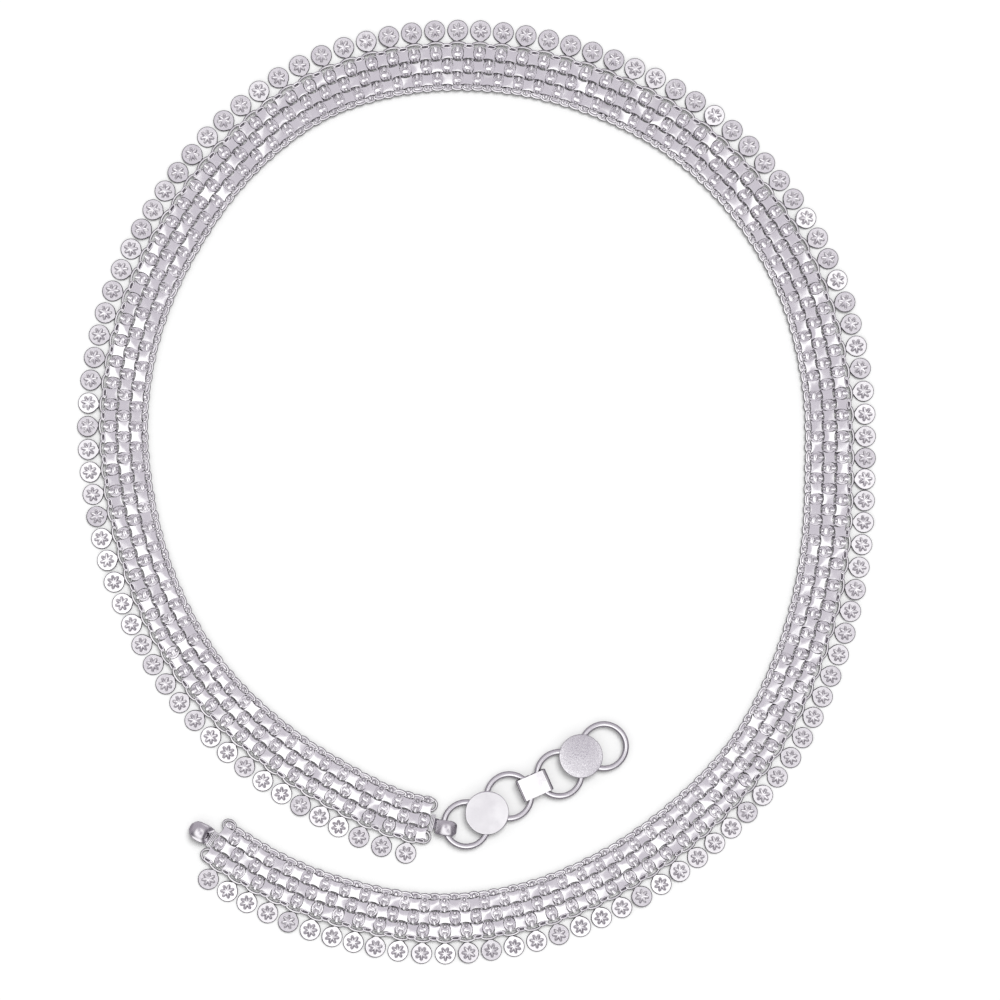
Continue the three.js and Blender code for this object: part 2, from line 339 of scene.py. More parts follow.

# Each silver's open colour and its colour low down, painted shade with some tarnish, the heights between
# which
# it opens, and its polish: the scale of its patches, the roughness of the best and the worst of them, the
# depth of its scratches and, for the frosted silver, their scale and draw. The heights count from the floor,
# or in each copy's own shape where True follows.
silverPlans = {
    "base": ((0.9, 0.88, 0.91), (0.3, 0.28, 0.31), (0.45, 1.0), (900, 0.14, 0.26, 0.02)),
    "plate": ((0.95, 0.94, 0.955), (0.4, 0.37, 0.42), (1.0, 1.6), (400, 0.1, 0.2, 0.02)),
    # painted shade: the links under and across the rows are dull and dark, so that the gaps between the
    # plates look shaded
    "link": ((0.78, 0.76, 0.79), (0.26, 0.24, 0.27), (0.5, 1.2), (500, 0.16, 0.28, 0.02)),
    # painted shade: the knots' loops and arches are dull, and near black low down, as the shade around them
    "arch": ((0.72, 0.7, 0.73), (0.1, 0.09, 0.105), (0.02, 0.12), (500, 0.16, 0.28, 0.02), True),
    "ring": ((0.92, 0.9, 0.93), (0.28, 0.26, 0.295), (0.0, 0.08), (500, 0.14, 0.24, 0.02), True),
    "edge": ((0.95, 0.94, 0.955), (0.17, 0.155, 0.18), (0.07, 0.22), (500, 0.12, 0.22, 0.02), True),
    "rim": ((1, 0.99, 1), (0.08, 0.07, 0.085), (0.08, 0.26), (500, 0.1, 0.2, 0.02), True),
    # painted shade and oxide: the flower's grooves and the disc's sides are dark, partly as oxide in the
    # stamped lines
    "disc": ((1, 0.99, 1), (0.22, 0.205, 0.235), (0.1, 0.24), (300, 0.17, 0.26, 0.02), True),
    "wire": ((0.94, 0.93, 0.95), (0.09, 0.08, 0.1), (0.72, 1.5), (250, 0.08, 0.14, 0.015)),
    "bright": ((0.8, 0.79, 0.81), (0.3, 0.28, 0.31), (0.2, 1.4), (200, 0.14, 0.24, 0.05)),
    "polished": ((1, 0.99, 1), (0.5, 0.48, 0.52), (0.2, 1.4), (200, 0.14, 0.24, 0.035)),
    # painted shade: dark grey silver for the rolled ends of the link plate, the slits of the outer edge and
    # the hook's collar
    "shadedBar": ((0.42, 0.4, 0.43), (0.2, 0.185, 0.21), (2.3, 2.9), (700, 0.16, 0.26, 0.03)),
    # painted shadow: near-black silver for the slot by the free hook
    "paintedShadow": ((0.1, 0.09, 0.105), (0.05, 0.045, 0.05), (1.5, 2.9), (700, 0.3, 0.45, 0.03)),
    "frosted": ((0.8, 0.785, 0.815), (0.5, 0.48, 0.52), (0.2, 1.4), (2200, 0.12, 0.5, 1.0, 1700, (1, 1, 1))),
    # painted reflection: the hooks are lighter low down, so that their rims look lit, and darker on top
    "satin": ((0.82, 0.8, 0.83), (0.97, 0.96, 0.975), (2.5, 3.2), (400, 0.22, 0.32, 0.035)),
}


# A silver finish: the two shared groups with its own values, and one metal shader.
def makeSilver(name, openColor, deepColor, heights, polish, inCopy=False):
    material = bpy.data.materials.new(f"{name}Silver")
    material.use_nodes = True
    tree = material.node_tree
    tree.nodes.clear()
    if inCopy:
        place = addNode(tree, "Attribute", {}, attribute_name="ownPlace").outputs["Vector"]
    else:
        place = addNode(tree, "TexCoord", {}).outputs["Object"]
    parts = addNode(tree, "SeparateXYZ", {"Vector": place})
    low, high = (height * (1 if inCopy else mm) for height in heights)
    tone = addNode(tree, "Group", {
        "Open Color": (*openColor, 1), "Deep Color": (*deepColor, 1), "Low": low, "High": high,
        "Height": parts.outputs["Z"]}, node_tree=shadeAndTarnish)
    labels = ("Patch Scale", "Polished", "Dull", "Bump", "Scratch Scale", "Draw")
    marks = addNode(tree, "Group", dict(zip(labels, polish)), node_tree=polishMarks)
    shader = addNode(tree, "BsdfPrincipled", {
        "Metallic": 1, "Base Color": tone.outputs["Color"], "Roughness": marks.outputs["Roughness"],
        "Normal": marks.outputs["Normal"]})
    addNode(tree, "OutputMaterial", {"Surface": shader.outputs["BSDF"]})
    return material


silver = {name: makeSilver(name, *plan) for name, plan in silverPlans.items()}
print(f"materials: {len(silver)} silvers from two shared groups")

# Star plates.
plate = {"half": 1.86, "hollowAlong": 0.24, "hollowAcross": 0.22, "thickness": 0.4, "dome": 0.07,
         "domeSteps": ((0.1, 0.4), (0.6, 0.6)),    # how far from the middle, and what share of the dome
         "lip": 0.06, "bentFrom": 0.7, "innerDrop": 0.05, "up": 1.8, "lean": 2.5, "uneven": (2.8, 3.5),
         "finish": "plate", "smooth": 14}


# A square plate with four hollow sides, slightly domed, and bent down along its inner side.
def makePlateUnit():
    half = plate["half"]
    bpy.ops.mesh.primitive_grid_add(x_subdivisions=4, y_subdivisions=4, size=2 * half * mm)
    unit = startEditing()
    for share in (0, 0.5):
        pull = 1 - share * share
        selectWhere("VERT", lambda v: near(abs(v.co.x), half) and near(abs(v.co.y), share * half))
        resizeBy(1 - plate["hollowAlong"] * pull, 1, 1)
        selectWhere("VERT", lambda v: near(abs(v.co.y), half) and near(abs(v.co.x), share * half))
        resizeBy(1, 1 - plate["hollowAcross"] * pull, 1)
    for reach, rise in plate["domeSteps"]:
        selectWhere("VERT", lambda v: max(abs(v.co.x), abs(v.co.y)) < reach * half * mm)
        moveBy(0, 0, rise * plate["dome"])
    selectWhere("VERT", lambda v: v.co.y > plate["bentFrom"] * half * mm)
    moveBy(0, 0, -plate["innerDrop"])
    bpy.ops.mesh.select_all(action="SELECT")
    extrudeBy(0, 0, -plate["thickness"])
    bpy.ops.mesh.select_all(action="SELECT")
    bpy.ops.mesh.normals_make_consistent(inside=False)
    selectRim(0.3)
    bevelBy(plate["lip"])
    return stopEditing(unit)


def platePlaces():
    return [unevenPlace(plate, along, out=out)
            for row, out in enumerate(band["rows"]) for along in alongRow(row)]


addCopies("starPlates", makePlateUnit(), platePlaces(), plate)

# Knots between the plates, and the links below them. "in" is how far a part stands in from its row's middle,
# and "steps" are a link's segments all round and across its wire.
knotBase = {"sides": 14, "halfAlong": 1.72, "halfAcross": 1.93, "height": 0.5, "insets": [(0.86, 0.03)],
            "up": 1.0, "uneven": (1.8, 4), "finish": "base", "smooth": 60}
knotRing = {"halfAlong": 1.36, "halfAcross": 1.72, "wire": 0.15, "steps": (14, 5), "up": 1.28,
            "uneven": (2, 4), "finish": "ring", "smooth": 80}
lug = {"sides": 12, "halfAlong": 1.14, "halfAcross": 0.8, "height": 0.4, "shoulder": 0.14, "slope": 0.08,
       "crown": 0.09, "crownOut": 0.08, "flatFrom": 0.2, "flatSide": 0.6, "in": 0.1, "up": 1.5,
       "uneven": (3, 7), "finish": "plate", "smooth": 60}
loop = {"halfAlong": 0.66, "halfAcross": 0.62, "wire": 0.15, "steps": (9, 5), "in": 1.4, "up": 1.5,
        "uneven": (5, 6), "finish": "arch", "smooth": 80}
bead = {"sides": 7, "halfAlong": 0.36, "halfAcross": 0.36, "height": 0.3, "insets": [(0.108, 0.08)],
        "in": 1.4, "up": 1.55, "uneven": (3, 6), "finish": "plate", "smooth": 15}
arch = {"halfAlong": 0.92, "halfAcross": 0.88, "wire": 0.22, "steps": (10, 5), "in": -1.15, "up": 1.45,
        "uneven": (5, 6), "finish": "arch", "smooth": 80}
tongue = {"halfAlong": 0.36, "halfAcross": 0.7, "thickness": 0.3, "corner": 0.24, "edge": 0.06, "crown": 0.05,
          "in": -1.4, "up": 1.68, "outerRow": 1.25, "uneven": (4, 8), "finish": "plate", "smooth": 40}
underLink = {"halfAlong": 2.6, "halfAcross": 1.15, "wire": 0.28, "steps": (10, 4), "up": 0.35,
             "uneven": (0.6, 1.5), "sizeAtEnds": 0.6, "finish": "link", "smooth": 80}
crossLink = {"halfAlong": 1.5, "halfAcross": 1.6, "wire": 0.3, "steps": (10, 4), "up": 0.62, "dip": 8,
             "uneven": (1, 5), "finish": "link", "smooth": 80}
flattening = 0.6    # how high a link's wire stands against its width, after rolling


# An oval link of round wire, with its size along and across from middle to outside.
def ovalUnit(sizes):
    wire = sizes["wire"]
    around, section = sizes["steps"]
    along, across = sizes["halfAlong"] - wire, sizes["halfAcross"] - wire
    radius = min(along, across)
    bpy.ops.mesh.primitive_torus_add(
        major_segments=around, minor_segments=section, major_radius=radius * mm, minor_radius=wire * mm)
    unit = startEditing()
    shape = bmesh.from_edit_mesh(unit.data)
    shape.verts.index_update()
    turns = {v.index: math.atan2(v.co.y, v.co.x) for v in shape.verts}
    for step in range(around):
        turn = 2 * math.pi * step / around
        ring = {index for index, at in turns.items() if abs(math.remainder(at - turn, 2 * math.pi)) < 0.01}
        selectWhere("VERT", lambda v: v.index in ring)
        moveBy((along - radius) * math.cos(turn), (across - radius) * math.sin(turn), 0)
    stretchAll(1, 1, flattening)
    return stopEditing(unit)


# A low oval block with a sloping or dished top.
def blockUnit(sizes):
    bpy.ops.mesh.primitive_cylinder_add(vertices=sizes["sides"], radius=mm, depth=sizes["height"] * mm)
    unit = startEditing()
    stretchAll(sizes["halfAlong"], sizes["halfAcross"], 1)
    selectTop()
    for inwards, rise in sizes["insets"]:
        insetBy(inwards, rise)
    return stopEditing(unit)


# A low boss across the middle of a knot, straighter on its outer side.
def makeLugUnit():
    bpy.ops.mesh.primitive_cylinder_add(vertices=lug["sides"], radius=mm, depth=lug["height"] * mm)
    unit = startEditing()
    stretchAll(lug["halfAlong"], lug["halfAcross"], 1)
    selectWhere("VERT", lambda v: v.co.y < -lug["flatFrom"] * lug["halfAcross"] * mm)
    resizeBy(1, lug["flatSide"], 1)
    selectTop()
    insetBy(lug["shoulder"], lug["slope"])
    moveBy(0, -lug["crownOut"], 0)
    bpy.ops.mesh.poke(offset=lug["crown"] * mm)
    return stopEditing(unit)


# A rounded tongue of flat metal, folded over an arch of wire.
def makeTongueUnit():
    bpy.ops.mesh.primitive_cube_add(size=2 * mm)
    unit = startEditing()
    stretchAll(tongue["halfAlong"], tongue["halfAcross"], tongue["thickness"] / 2)
    selectWhere("EDGE", lambda e: abs(e.verts[0].co.z - e.verts[1].co.z) > 0.1 * mm)
    bevelBy(tongue["corner"], 2)
    selectTop()
    insetBy(tongue["edge"], tongue["edge"])
    bpy.ops.mesh.poke(offset=tongue["crown"] * mm)
    return stopEditing(unit)


def addKnotPart(name, unit, part):
    places = []
    for row, out in enumerate(band["rows"]):
        size = part.get("outerRow", 1) if row == 2 else 1
        for along in alongRow(0 if row == 1 else 1):
            places.append(unevenPlace(part, along, out=out - part.get("in", 0), size=(size, size, 1)))
    addCopies(name, unit, places, part)


addKnotPart("knotBases", blockUnit(knotBase), knotBase)
addKnotPart("knotRings", ovalUnit(knotRing), knotRing)
addKnotPart("knotLugs", makeLugUnit(), lug)
addKnotPart("knotLoops", ovalUnit(loop), loop)
addKnotPart("loopBeads", blockUnit(bead), bead)
addKnotPart("knotArches", ovalUnit(arch), arch)
addKnotPart("knotTongues", makeTongueUnit(), tongue)


def underPlaces():
    places = []
    for row, out in enumerate(band["rows"]):
        for along in alongRow(row):
            size = 1 if pitch < along < routeLength - pitch else underLink["sizeAtEnds"]
            places.append(unevenPlace(underLink, along, out=out, size=(size, size, 1)))
    return places


def crossPlaces():
    inner, middle, outer = band["rows"]
    return [unevenPlace(crossLink, along, out=out)
            for out in ((inner + middle) / 2, (middle + outer) / 2) for along in halfSteps]


addCopies("underLinks", ovalUnit(underLink), underPlaces(), underLink)
addCopies("crossLinks", ovalUnit(crossLink), crossPlaces(), crossLink)

# Edge chains.
innerLink = {"halfAlong": 2.1, "halfAcross": 1.15, "wire": 0.39, "steps": (16, 6), "innerSide": 0.6,
             "out": -6.25, "up": 1.2, "turn": 180, "dip": 5, "uneven": (2, 2), "finish": "edge", "smooth": 80}
innerAtPlate = {**innerLink, "out": -6.4, "up": 1.0, "size": (0.9, 1, 1)}
innerLoop = {"halfAlong": 0.7, "halfAcross": 0.72, "wire": 0.15, "steps": (10, 5), "out": -6.1, "up": 1.5,
             "uneven": (3, 3), "finish": "arch", "smooth": 80}
innerBead = {"size": (1.3, 1.3, 1), "out": -6.1, "up": 1.5, "uneven": (3, 3), "finish": "plate", "smooth": 15}
edgeFill = {"sides": 12, "halfAlong": 1.45, "halfAcross": 0.8, "height": 0.4, "insets": [(0.4, 0.1)],
            "out": -6.2, "up": 0.85, "uneven": (3, 3), "finish": "base", "smooth": 60}
slitFill = {"size": (0.8, 0.62, 1), "out": 5.9, "up": 1.0, "uneven": (3, 3), "finish": "shadedBar", "smooth": 60}
outerLink = {"halfAlong": 2.95, "halfAcross": 1.5, "wire": 0.4, "steps": (16, 6), "innerSide": 0.45,
             "out": 6.05, "up": 1.2, "lean": 5, "dip": 3, "uneven": (2, 2), "finish": "rim", "smooth": 80}
lensLink = {"halfAlong": 1.65, "halfAcross": 0.82, "wire": 0.27, "steps": (16, 6), "innerSide": 0.9,
            "out": 6.0, "up": 1.5, "lean": 3, "dip": 5, "uneven": (2, 2), "finish": "ring", "smooth": 80}


# An oval link whose inner side is drawn in, so that its outer side stands out as an arc.
def arcLinkUnit(sizes):
    unit = ovalUnit(sizes)
    activate(unit)
    startEditing()
    selectWhere("VERT", lambda v: v.co.y > 0.5 * sizes["wire"] * mm)
    resizeBy(1, sizes["innerSide"], 1)
    return stopEditing(unit)


def edgePlaces(piece, steps):
    return [unevenPlace(piece, along) for along in steps]


def innerEdgePlaces():
    return [unevenPlace(innerLink if number % 2 else innerAtPlate, along)
            for number, along in enumerate(halfSteps)]


addCopies("innerEdgeChain", arcLinkUnit(innerLink), innerEdgePlaces(), innerLink)
addCopies("innerEdgeLoops", ovalUnit(innerLoop), edgePlaces(innerLoop, alongRow(0)), innerLoop)
# The soldered feet of the inner edge, which close the holes of its links.
addCopies("innerEdgeFills", blockUnit(edgeFill), edgePlaces(edgeFill, halfSteps), edgeFill)
addCopies("innerEdgeBeads", blockUnit(bead), edgePlaces(innerBead, alongRow(0)), innerBead)
addCopies("outerEdgeChain", arcLinkUnit(outerLink), edgePlaces(outerLink, alongRow(1)), outerLink,
          nodes=fringeNodes)
# The slits of the outer edge are filled in dark grey silver, painted shade.
addCopies("outerEdgeFills", blockUnit(edgeFill), edgePlaces(slitFill, alongRow(0)), slitFill)
addCopies("outerEdgeLenses", arcLinkUnit(lensLink), edgePlaces(lensLink, alongRow(0)), lensLink)

# Ends of the band. The corner links turn its other three corners under the last plates; "at" says how far
# each stands from the start, or from the finish where that is negative, and how far out.
endBar = {"width": 0.34, "length": 5.2, "height": 0.9, "edge": 0.12, "from": (0.15, 0.6, 1.05), "out": 0.1,
          "up": 1.4, "finish": "wire", "smooth": 40}
cornerLoop = {"halfAlong": 2.3, "halfAcross": 1.85, "wire": 0.3, "steps": (28, 8), "from": 2.6, "out": -6.3,
              "up": 1.3, "turn": 5, "finish": "edge", "smooth": 80}
cornerBead = {"from": 2.5, "out": -6.2, "up": 1.45, "size": (2.9, 1.9, 1), "finish": "plate", "smooth": 15}
cornerLink = {"halfAlong": 2.5, "halfAcross": 2.2, "wire": 0.36, "steps": (28, 8), "up": 1.1,
              "at": [(2.35, 4.75), (-2.35, 4.75), (-2.5, -5.1)], "finish": "rim", "smooth": 80}


# One of three bars across the band's end, which hold the rows together and the hook to them.
def makeBarUnit():
    bpy.ops.mesh.primitive_cube_add(size=mm)
    unit = startEditing()
    stretchAll(endBar["width"], endBar["length"], endBar["height"])
    bevelBy(endBar["edge"], 3)
    return stopEditing(unit)


def barPlaces():
    return [placeOnBelt(along, endBar["out"], endBar["up"])
            for start in endBar["from"] for along in (start, routeLength - start)]


def cornerPlaces():
    return [placeOnBelt(along % routeLength, out, cornerLink["up"]) for along, out in cornerLink["at"]]


# The one place of a part at the inner corner by the free hook.
def cornerPlace(part):
    return [placeOnBelt(part["from"], part["out"], part["up"], part.get("turn", 0),
                        size=part.get("size", (1, 1, 1)))]


addCopies("endBars", makeBarUnit(), barPlaces(), endBar)
addCopies("cornerLoop", ovalUnit(cornerLoop), cornerPlace(cornerLoop), cornerLoop)
addCopies("cornerBead", blockUnit(bead), cornerPlace(cornerBead), cornerBead)
addCopies("cornerLinks", ovalUnit(cornerLink), cornerPlaces(), cornerLink)

# Discs.
disc = {"radius": 3.12, "thickness": 0.5, "edge": 0.2, "rim": 0.8, "petals": 7, "sidesInPetal": 5,
        "petalReach": (1.5, 2.03, 2.29, 2.29, 2.03),
        "relief": ((0.12, -0.1), (0.27, 0.2), (0.24, -0.13)), "boss": 0.03,    # how far in, and how far up
        "out": 10.75, "above": 0.05, "lean": 2.4, "unevenLean": 2.5, "unevenTurn": 6.0,
        "finish": "disc", "smooth": 16}
neck = {"reach": 0.32, "narrowing": (0.5, 0.3, 1), "shoulder": 0.06, "shoulderTurns": (5, 25)}


# How far round a corner lies from the disc's neck, in degrees, from 0 to 360.
def turnFromNeck(place):
    return math.degrees(math.atan2(place.x, place.y)) % 360


# A coin with a plain rim round a raised flower, drawn out to a narrow neck on the side towards the band.
def makeDiscUnit():
    radius, thickness = disc["radius"] * mm, disc["thickness"] * mm
    bpy.ops.mesh.primitive_cylinder_add(
        vertices=disc["petals"] * disc["sidesInPetal"], radius=radius, depth=thickness)
    unit = startEditing()
    selectTop()
    insetBy(disc["rim"])
    shapeFlower(unit)
    for inwards, rise in disc["relief"]:
        insetBy(inwards, rise)
    bpy.ops.mesh.poke(offset=disc["boss"] * mm)
    nearest, farthest = neck["shoulderTurns"]
    selectWhere("VERT", lambda v: nearest < abs((turnFromNeck(v.co) + 180) % 360 - 180) < farthest
                and v.co.length > 0.99 * radius)
    moveBy(0, neck["shoulder"], 0)
    selectWhere("FACE", lambda f: abs(f.normal.z) < 0.1 and f.normal.y > 0.95)
    extrudeBy(0, neck["reach"], 0)
    bpy.ops.transform.resize(value=neck["narrowing"])
    selectRim(0.05)
    bevelBy(disc["edge"])
    return stopEditing(unit)


# Draws the corners of the selected face into round petals, and leaves the face selected.
def shapeFlower(unit):
    step = 360 / (disc["petals"] * disc["sidesInPetal"])
    shape = bmesh.from_edit_mesh(unit.data)
    shape.verts.index_update()
    corners = {v.index: v.co.copy() for v in shape.verts if v.select}
    for index, place in corners.items():
        number = round(turnFromNeck(place) / step) % disc["sidesInPetal"]
        reach = disc["petalReach"][number] * mm / place.xy.length
        selectWhere("VERT", lambda v: v.index == index)
        resizeBy(reach, reach, 1)
    selectWhere("VERT", lambda v: v.index in corners)
    bpy.ops.mesh.select_mode(type="FACE")


# Each disc hangs from the edge chain by its neck and rests on its outer side.
def discPlaces():
    places = []
    for along in alongRow(1):
        lean, dip, turn = np.clip(chance.normal(0, 1, 3), -2, 2)
        lean = disc["lean"] + lean * disc["unevenLean"]
        dip = dip * disc["unevenLean"]
        rise = disc["radius"] * math.sin(math.radians(math.hypot(lean, dip)))
        up = disc["above"] + disc["thickness"] / 2 + rise
        places.append(placeOnBelt(along, disc["out"], up, turn * disc["unevenTurn"], lean, dip))
    return places


addCopies("fringeDiscs", makeDiscUnit(), discPlaces(), disc, fringeNodes)

# Rings of the extender.
extenderRing = {"steps": (96, 16), "finish": "wire", "smooth": 180}


def middleOf(node):
    low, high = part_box(node)
    return (low + high) / 2


def makeRing(number):
    node = f"ring_{number}"
    low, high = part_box(node)
    wire = (high.z - low.z) / 2
    around, section = extenderRing["steps"]
    bpy.ops.mesh.primitive_torus_add(
        location=middleOf(node), major_segments=around, minor_segments=section,
        major_radius=(high.x - low.x) / 2 - wire, minor_radius=wire)
    ring = stopEditing(startEditing(f"extenderRing{number}"))
    placeInMesh(ring)
    smooth(ring, extenderRing["smooth"])
    dress(ring, silver[extenderRing["finish"]], [node])


for number in range(1, 5):
    makeRing(number)

# Folded strips. "plan" is half the strip's width at its start, between and at its tip, "slack" is how far a
# sleeve stops short of its rings' wire, and "moves" draw its side view.
linkStrip = {"plan": (3.35, 3.35, 3.35), "wall": 0.38, "top": 3.05, "radius": 0.6, "slack": 1.0, "seam": 0.5,
             "columns": 4, "edge": 0.07, "crown": 0, "flat": 1, "lean": 3, "step": 10}
discStrip = {"plan": (2.25, 2.25, 2.25), "wall": 0.35, "top": 3.0, "radius": 0.6, "slack": 0.65, "seam": 0.5,
             "columns": 2, "edge": 0.05, "crown": 0, "flat": 1, "lean": 0, "step": 10}
closedHook = {"plan": (2.1, 2.6, 2.2), "wall": 0.5, "columns": 6, "edge": 0, "crown": 0.75, "flat": 1,
              "turn": -8, "shift": -0.1, "tipRound": (0.35, 0.6), "step": 20,
              "moves": [("run", 1.8), ("turn", 1.0, 120), ("turn", 3.3, 120), ("turn", 1.0, 120),
                        ("run", 1.8)]}
# The free hook's foot at the band rises to the crown and curls under to a lip.
freeHook = {"plan": (2.5, 3.5, 2.3), "wall": 0.76, "columns": 8, "edge": 0, "crown": 0.8, "flat": 0.75,
            "turn": 152, "shift": 0.55, "tipRound": (0.32, 0.8), "step": 12,
            "moves": [("run", 0.3), ("turn", 0.4, 60), ("run", 1.74), ("turn", 2.9, -120),
                      ("turn", 1.17, -120), ("run", 1.2)]}
crownPower = 2.4    # how much more steeply a crown falls near the strip's sides
stripShading = {"sleeve": 13, "hook": 60}


# The side view of a sleeve, from the seam in the middle of its underside all the way round.
def sleeveMoves(length, height, radius, seam):
    half = length / 2 - radius
    rise = height - 2 * radius
    fold = ("turn", radius, 90)
    return [("run", half - seam / 2), fold, ("run", rise), fold, ("run", 2 * half), fold, ("run", rise), fold,
            ("run", half - seam / 2)]


# Draws a strip along its side view in the XZ plane: a run goes straight on, and a turn bends to the left,
# or to the right when its angle in degrees is negative.
def foldStrip(name, moves, plan):
    x, z, heading = moves[0][1], 0, 0
    bpy.ops.mesh.primitive_grid_add(x_subdivisions=1, y_subdivisions=plan["columns"], size=mm)
    strip = startEditing(name)
    stretchAll(x, 2 * plan["plan"][0], 1)
    moveBy(x / 2, 0, 0)
    selectWhere("EDGE", lambda e: all(v.co.x > 0.99 * x * mm for v in e.verts))
    for kind, size, *angle in moves[1:]:
        if kind == "run":
            step = Vector((math.cos(heading), 0, math.sin(heading))) * size
            extrudeBy(*step)
            x, z = x + step.x, z + step.z
            continue
        turn = math.radians(angle[0])
        reach = math.copysign(size, turn)
        steps = max(2, round(abs(angle[0]) / plan["step"]))
        middle = Vector((x - math.sin(heading) * reach, 0, z + math.cos(heading) * reach))
        bpy.ops.mesh.spin(steps=steps, angle=turn, center=middle * mm, axis=(0, 1, 0))
        heading += turn
        x, z = middle.x + math.sin(heading) * reach, middle.z - math.cos(heading) * reach
    return strip


# Draws the strip's sides in towards mid height, narrows it to its plan, gives it its wall and rounds its
# edges, by a bevel or all over.
def finishStrip(strip, plan):
    atBand, bulge, atTip = plan["plan"]
    corners = bmesh.from_edit_mesh(strip.data).verts
    stations = sorted({round(v.co.x / mm, 3) for v in corners})
    first, length = stations[0], stations[-1] - stations[0]
    low, high = min(v.co.z for v in corners), max(v.co.z for v in corners)
    for column in range(1, plan["columns"] // 2 + 1):
        share = 2 * column / plan["columns"]
        drop = plan["crown"] * mm * min(1, share / plan["flat"]) ** crownPower
        selectWhere("VERT", lambda v: near(abs(v.co.y), share * atBand))
        resizeBy(1, 1, 1 - 2 * drop / (high - low), (0, 0, (low + high) / 2))
    for station in stations:
        t = (station - first) / length
        half = (1 - t) ** 2 * atBand + 2 * t * (1 - t) * bulge + t * t * atTip
        if "tipRound" in plan:
            reach, depth = plan["tipRound"]
            half *= math.sqrt(1 - depth * max(0, (t - 1) / reach + 1) ** 3)
        selectWhere("VERT", lambda v: near(v.co.x, station, 0.002))
        resizeBy(1, half / atBand, 1)
    stopEditing(strip)
    applyModifier(strip, "SOLIDIFY", thickness=plan["wall"] * mm, offset=0, use_even_offset=True)
    if plan["edge"]:
        applyModifier(strip, "BEVEL", width=plan["edge"] * mm, segments=3, limit_method="ANGLE",
                      angle_limit=math.radians(50))
    else:
        applyModifier(strip, "SUBSURF", levels=2)


def applyModifier(piece, kind, **settings):
    modifier = piece.modifiers.new(kind.title(), kind)
    for label, value in settings.items():
        setattr(modifier, label, value)
    activate(piece)
    bpy.ops.object.modifier_apply(modifier=modifier.name)
    piece.select_set(False)


# Leans a piece over, turns it about the upright and moves it so that its middle is at the given place and its
# foot at z = 0.
def settle(piece, place, turn, lean=0):
    piece.rotation_euler = (lean, 0, turn)
    placeInMesh(piece)
    corners = np.array([v.co for v in piece.data.vertices])
    low, high = corners.min(axis=0), corners.max(axis=0)
    piece.location = (place.x - (low[0] + high[0]) / 2, place.y - (low[1] + high[1]) / 2, -low[2])
    placeInMesh(piece)


def makeSleeve(name, firstRing, secondRing, plan):
    first, second = middleOf(firstRing), middleOf(secondRing)
    low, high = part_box(firstRing)
    inside = (high.x - low.x) / 2 - (high.z - low.z)
    start = math.sqrt(inside ** 2 - (plan["plan"][0] * mm) ** 2) / mm - plan["slack"]
    between = second - first
    length = between.length / mm - 2 * start - plan["wall"]
    moves = sleeveMoves(length, plan["top"] - plan["wall"], plan["radius"], plan["seam"])
    sleeve = foldStrip(name, moves, plan)
    finishStrip(sleeve, plan)
    settle(sleeve, (first + second) / 2, math.atan2(between.y, between.x), math.radians(plan["lean"]))
    smooth(sleeve, stripShading["sleeve"])
    return sleeve


# The two plain discs, each over the sleeve that holds a pair of rings.
plainDisc = {"thickness": 0.6, "edge": 0.3, "edgeSteps": 3, "sides": 96, "domeInset": 1.8,
             "domeShares": (0.4, 0.35, 0.25), "shading": 13}
discLinks = {
    1: {"tilt": (3.0, 0.6), "dome": 0.03, "lower": 0.12, "finish": "bright", "slot": "silver_polished"},
    2: {"tilt": (-1.2, -0.6), "dome": 0.3, "lower": 0.08, "finish": "frosted", "slot": "silver_frosted"},
}


def makePlainDisc(name, node, plan):
    low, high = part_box(node)
    thickness = plainDisc["thickness"] * mm
    bpy.ops.mesh.primitive_cylinder_add(
        vertices=plainDisc["sides"], radius=(high.x - low.x) / 2, depth=thickness,
        location=((low.x + high.x) / 2, (low.y + high.y) / 2, high.z - thickness / 2 - plan["lower"] * mm))
    piece = startEditing(name)
    selectWhere("EDGE", lambda e: abs(e.verts[0].co.z - e.verts[1].co.z) < 0.01 * mm)
    bevelBy(plainDisc["edge"], plainDisc["edgeSteps"])
    selectWhere("FACE", lambda f: f.normal.z > 0.99 and len(f.verts) > 12)
    for share in plainDisc["domeShares"]:
        insetBy(plainDisc["domeInset"], share * plan["dome"])
    stopEditing(piece)
    piece.rotation_euler = [math.radians(turn) for turn in (*plan["tilt"], 0)]
    placeInMesh(piece)
    smooth(piece, plainDisc["shading"])
    return piece


for number, plan in discLinks.items():
    node = f"disc_plate_{number}"
    sleeve = makeSleeve(f"discStrip{number}", f"ring_{2 * number - 1}", f"ring_{2 * number}", discStrip)
    dress(sleeve, silver["wire"], [node])
    dress(makePlainDisc(f"plainDisc{number}", node, plan), silver[plan["finish"]], [node])

linkSleeve = makeSleeve("linkPlate", "ring_2", "ring_3", linkStrip)
dress(linkSleeve, silver["polished"], ["link_plate"])

linkBars = {"radii": (0.38, 0.56), "top": 3.3, "sides": 16, "sunk": 0.4, "edge": 0.08, "shading": 50}


